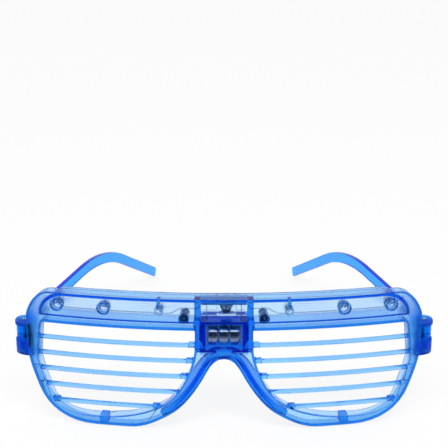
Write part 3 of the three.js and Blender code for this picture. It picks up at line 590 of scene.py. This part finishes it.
for number in (1, 2, 3):
    node = f"cell_{number}"
    low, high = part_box(node)
    radius = (high.z - low.z) / 2
    length = high.x - low.x
    can_end = length - cap_height
    middle = (low + high) / 2
    place = Matrix.Translation((low.x, middle.y, middle.z))
    place = place @ Matrix.Rotation(math.radians(-90), 4, "Z")

    side = radius - can_fillet
    can = [(0, 0), (radius - 2.2 * can_fillet, 0)]
    can += quarter((side, can_fillet), (can_fillet, can_fillet), 4)
    can += quarter((side, can_end - can_fillet), (can_fillet, can_fillet), 4, 90)
    can += [
        (cap_radius + 0.25 * mm, can_end),
        (cap_radius + 0.2 * mm, can_end - 0.15 * mm),
        (0, can_end - 0.15 * mm),
    ]
    can = spun("can", can, cell_sides, place)
    new_piece(f"cell_can_{number}", can, can_metal, "front", "cell_steel", node)

    cap = [(0, can_end - 0.1 * mm), (cap_radius - 0.05 * mm, can_end - 0.1 * mm)]
    cap += quarter((cap_radius - cap_edge, length - cap_edge), (cap_edge, cap_edge), 3, 90)
    cap.append((0, length))
    cap = spun("cap", cap, cell_sides, place)
    new_piece(f"cell_cap_{number}", cap, can_metal, "front", "cell_steel", node)

    ring = [
        (seal_inner, can_end - 0.12 * mm),
        (seal_outer, can_end - 0.12 * mm),
        (seal_outer, can_end + 0.03 * mm),
        (seal_inner, can_end + 0.03 * mm),
        (seal_inner, can_end - 0.12 * mm),
    ]
    ring = spun("seal", ring, cell_sides, place)
    new_piece(f"cell_seal_{number}", ring, seal, "front", "black_plastic", node)


# ---- Cover screws
# Bright plated steel screws, driven in from behind through the cover and into the bosses of
# the front. Round the tip of each sits a dark steel end ring, which shows from in front.
screw_sides = 24
screw_spot = 14.1 * mm
screw_front = 1.5 * mm
tip_radius = 0.46 * mm
shank = 0.8 * mm
root_share = 0.72
thread_pitch = 0.6 * mm
head_radius = 1.6 * mm
head_front = 7.3 * mm
head_edge = 0.4 * mm
head_crown = 0.5 * mm
crown_radius = 1.0 * mm
recess_radius = 0.5 * mm
recess_floor = head_front + 0.45 * mm
end_length = 1.3 * mm
end_radius = 1.3 * mm
end_bore = 0.5 * mm
end_edge = 0.08 * mm
end_rear = screw_front + end_length

plated = Finish("screw_steel")
plated.grained(plated.noise(800, 4), (0.3, (0.86, 0.89, 0.93)), (0.7, (0.97, 0.98, 1.0)), 0.3, 0.3)
end_black = Finish("screw_end_oxide", metallic=0.6)
end_black.grained(end_black.noise(900, 4), (0.3, 0.004), (0.7, 0.02), 0.2, 0.2)

end_outline = [
    (end_bore, screw_front + 0.35 * mm),
    (end_bore + end_edge, screw_front),
    (end_radius - end_edge, screw_front),
    (end_radius, screw_front + end_edge),
    (end_radius, end_rear - end_edge),
    (end_radius - end_edge, end_rear),
    (end_bore, end_rear),
    (end_bore, screw_front + 0.35 * mm),
]
screw_outline = quarter((0, screw_front + tip_radius), (tip_radius, tip_radius), 4)
screw_outline.append((tip_radius, end_rear + 0.02 * mm))
thread = end_rear + 0.05 * mm
while thread + thread_pitch < head_front - 0.3 * mm:
    screw_outline += [(shank * root_share, thread), (shank, thread + thread_pitch / 2)]
    thread += thread_pitch
screw_outline += [
    (shank, head_front),
    (head_radius - 0.1 * mm, head_front),
    (head_radius, head_front + 0.1 * mm),
]
crown_reach = (head_radius - crown_radius, head_crown)
screw_outline += quarter((crown_radius, head_front + head_edge), crown_reach, 4, 90)
screw_outline += [
    (recess_radius, head_front + head_edge + head_crown),
    (recess_radius - 0.2 * mm, recess_floor),
    (0, recess_floor),
]
for side, sign in (("right", 1), ("left", -1)):
    node = f"cover_screw_{side}"
    low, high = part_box(node)
    place = round_front(sign * screw_spot, (low.z + high.z) / 2)
    screw = spun("screw", screw_outline, screw_sides, place)
    new_piece(f"screw_{side}", screw, plated, "front", "dark_steel", node)
    ring = spun("screw_end", end_outline, screw_sides, place)
    new_piece(f"screw_end_{side}", ring, end_black, "front", "dark_steel", node)


# ---- Table
# A plain matt white table, a hair under the rims. It looks white to the camera, keeps the
# soft shadow, and lies in the dark in front of the glasses for what they mirror and bend.
floor_half = 6
floor_height = -0.4 * mm
table_white = 0.81
table_bounce = 0.5

corners = [(-floor_half, -floor_half), (floor_half, -floor_half)]
corners += [(floor_half, floor_half), (-floor_half, floor_half)]
shape = bmesh.new()
shape.faces.new([shape.verts.new((*corner, floor_height)) for corner in corners])
floor = bpy.data.objects.new("floor", meshed("floor", shape))
scene.collection.objects.link(floor)


def mirrored(rays):
    """1 for the light that the object mirrors or bends, and 0 for the rest."""
    glossy, passed = rays("Is Glossy Ray"), rays("Is Transmission Ray")
    return glossy + passed - glossy * passed


paper = Finish("white_sweep", base_color=(0.2, 0.2, 0.2, 1), roughness=0.9, emission_strength=1)
rays = paper.node("ShaderNodeLightPath")
ground = paper.split(paper.place)
further_back = ground("Y") + abs(ground("X")) * 0.6
lit_table = paper.step(further_back, -175 * mm, -125 * mm, 0.03, 0.95)
seen = rays("Is Camera Ray") * table_white + rays("Is Diffuse Ray") * table_bounce
paper.varies("Emission Color", seen + mirrored(rays) * lit_table)
floor.data.materials.append(paper.material)
floor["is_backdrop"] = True


# ---- Room and lamp
# A white room round the table, and one wide softbox above and in front. The room is dark in
# front of the glasses and dim overhead, which only what mirrors or bends light shows.
plain_light = 0.55
softbox_size = (0.9, 0.3)
softbox_place = (0, -0.57, 0.78)
softbox_tilt = 34
softbox_watts = 4.3
world = bpy.data.worlds.new("studio")
scene.world = world
world.use_nodes = True
room = Recipe(world.node_tree)
rays = room.node("ShaderNodeLightPath")
direction = room.split(room.node("ShaderNodeTexCoord")("Generated"))
further_back = direction("Y") + abs(direction("X")) * 0.5
walls = room.step(further_back, -0.75, 0.15, 0.02, 1)
walls = walls * room.step(direction("Z"), 0.35, 0.8, 1, 0.2)
gleam = mirrored(rays)
light = gleam * walls + (1 - gleam) * plain_light
seen = rays("Is Camera Ray")
background = world.node_tree.nodes["Background"]
background.inputs["Color"].default_value = (1, 1, 1, 1)
room.feed(background.inputs["Strength"], seen + (1 - seen) * light)

softbox_data = bpy.data.lights.new("softbox", "AREA")
softbox_data.shape = "RECTANGLE"
softbox_data.size, softbox_data.size_y = softbox_size
softbox_data.energy = softbox_watts
softbox = bpy.data.objects.new("softbox", softbox_data)
softbox.location = softbox_place
softbox.rotation_euler = (math.radians(softbox_tilt), 0, 0)
scene.collection.objects.link(softbox)

scene.view_settings.view_transform = "Standard"
clear_bounces = 48
scene.cycles.max_bounces = clear_bounces
scene.cycles.glossy_bounces = clear_bounces
scene.cycles.transmission_bounces = clear_bounces
scene.cycles.transparent_max_bounces = 16

low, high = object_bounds()
